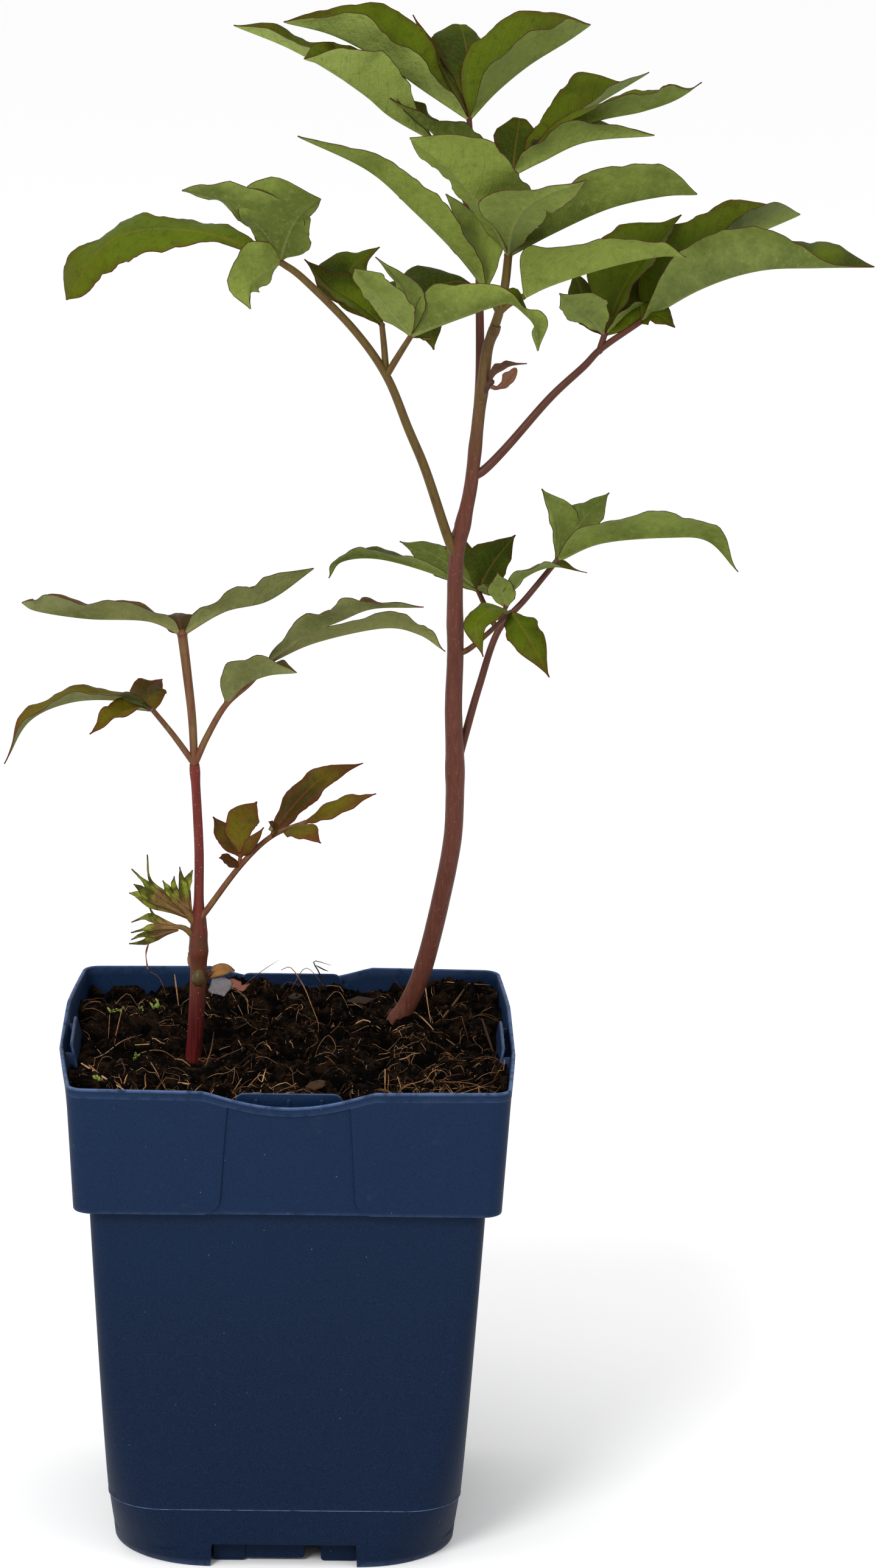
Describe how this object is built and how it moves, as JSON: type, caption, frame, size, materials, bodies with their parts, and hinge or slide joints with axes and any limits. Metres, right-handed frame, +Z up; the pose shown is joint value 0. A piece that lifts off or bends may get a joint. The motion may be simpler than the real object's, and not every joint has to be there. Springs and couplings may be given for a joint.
{
  "type": "potted garden perennial",
  "caption": "Young peony with a tall curving stem and a short one, both with divided leaves of folded, pointed leaflets, in a square plastic nursery pot filled with peat.",
  "frame": {"origin": "middle of the pot's base, on the surface that the pot stands on", "axes": "+Z up along the pot's axis; -Y towards the side of the pot that the picture shows; +X to the right as seen from there"},
  "size_m": [0.3326, 0.1734, 0.5965],
  "materials": {
    "pot": "satin navy, fine grained",
    "soil": "rough crumbly peat",
    "stem_bark": "smooth, faintly waxy, red brown",
    "stem_red": "smooth, faintly waxy, red",
    "leaf_green": "satin, veined, with a thin dark red margin",
    "leaf_young": "satin, veined, flushed with bronze",
    "bract": "dry and papery"
  },
  "bodies": {
    "root": {"pot": "pot", "soil": "soil", "stem_tall": "stem_bark", "stem_short": "stem_red", "leaf_top": "leaf_green", "leaf_crown": "leaf_green", "leaf_right": "leaf_green", "leaf_left": "leaf_green", "leaf_low": "leaf_green", "leaf_small": "leaf_green", "shoot_leaf_top": "leaf_young", "shoot_leaf_low": "leaf_young", "sprout_upper": "leaf_young", "sprout_side": "leaf_young", "bud_dried": "bract", "bud_scales": "bract"}
  },
  "joints": []
}
